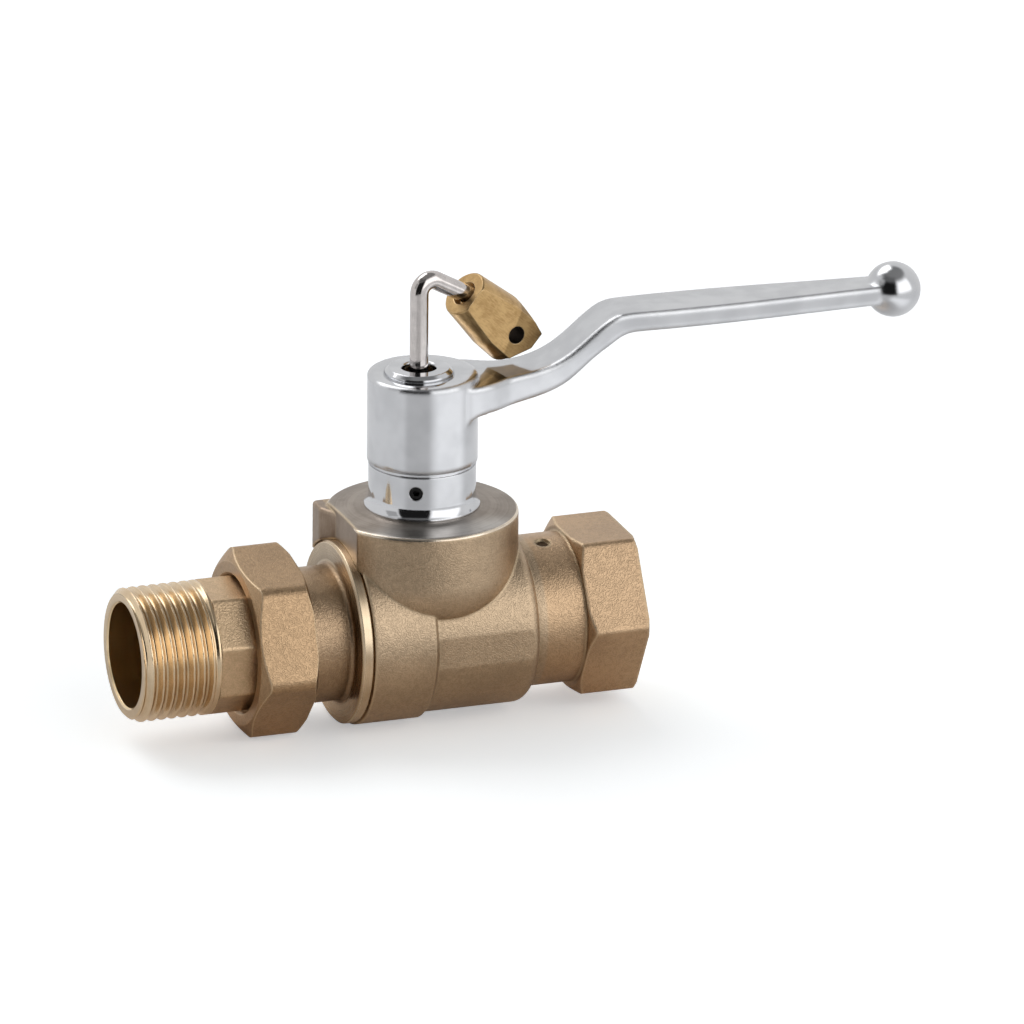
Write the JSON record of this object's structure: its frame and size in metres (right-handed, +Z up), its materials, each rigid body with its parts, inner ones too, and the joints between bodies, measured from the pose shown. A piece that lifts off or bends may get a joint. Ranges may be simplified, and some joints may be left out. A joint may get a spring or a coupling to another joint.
{
  "type": "lockable ball valve",
  "caption": "Full-bore isolating ball valve with a union tail, a female threaded port, a cranked chrome lever on a lockable hub, and a bent-rod lock key.",
  "frame": {"origin": "centre of the ball, where the pipe axis meets the stem axis", "axes": "+X along the pipe towards the female port and along the open lever, +Z up the stem"},
  "size_m": [0.1637, 0.0376, 0.0903],
  "materials": {
    "cast_bronze": "shot-blasted bronze casting, machined golden on threads and faces",
    "turned_brass": "turned brass, bright",
    "chrome": "bright chrome plate",
    "steel": "zinc plated steel",
    "key_rod": "nickel plated steel rod, polished",
    "key_head": "milled brass, slightly aged",
    "ptfe": "white PTFE",
    "rubber": "black EPDM",
    "fibre": "red-brown fibre gasket"
  },
  "bodies": {
    "root": {"body": "cast_bronze", "end_connector": "turned_brass", "connector_seal_ring": "rubber", "seat_left": "ptfe", "seat_right": "ptfe", "stem_thrust_washer": "ptfe", "lock_collar": "chrome", "collar_grub_screw": "steel", "stop_pin": "steel"},
    "lever": {"lever": "chrome", "hub_cap": "chrome", "stem": "turned_brass", "stem_seal_ring_lower": "rubber", "stem_seal_ring_upper": "rubber", "ball": "chrome", "stem_washer": "steel", "stem_nut": "steel"},
    "rotor": {"lock_rotor": "turned_brass"},
    "bolt": {"lock_bolt": "steel", "bolt_pin": "steel"},
    "key": {"key_rod": "key_rod", "key_head": "key_head"},
    "tail": {"tail_piece": "cast_bronze", "union_gasket": "fibre"},
    "nut": {"union_nut": "cast_bronze"}
  },
  "joints": [
    {"name": "lever_turn", "type": "hinge", "parent": "root", "child": "lever", "pos_m": [0, 0, 0], "axis": [0, 0, 1], "range_deg": [-90, 0]},
    {"name": "key_turn", "type": "hinge", "parent": "lever", "child": "rotor", "pos_m": [-0.0008, 0, 0.047], "axis": [0, 0, 1], "range_deg": [0, 90]},
    {"name": "key_lift", "type": "slide", "parent": "rotor", "child": "key", "axis": [0, 0, 1], "range_m": [0, 0.04]},
    {"name": "bolt_slide", "type": "slide", "parent": "lever", "child": "bolt", "axis": [0, 0, -1], "range_m": [0, 0.00281]},
    {"name": "tail_slide", "type": "slide", "parent": "root", "child": "tail", "axis": [-1, 0, 0], "range_m": [0, 0.0066]},
    {"name": "nut_turn", "type": "hinge", "parent": "tail", "child": "nut", "pos_m": [-0.0328, 0, 0], "axis": [-1, 0, 0], "range_deg": [0, 1548]}
  ],
  "couplings": [
    {"joint": "bolt_slide", "follows": "key_turn", "m_per_rad": 0.0017825},
    {"joint": "tail_slide", "follows": "nut_turn", "m_per_rad": 0.00023873}
  ]
}
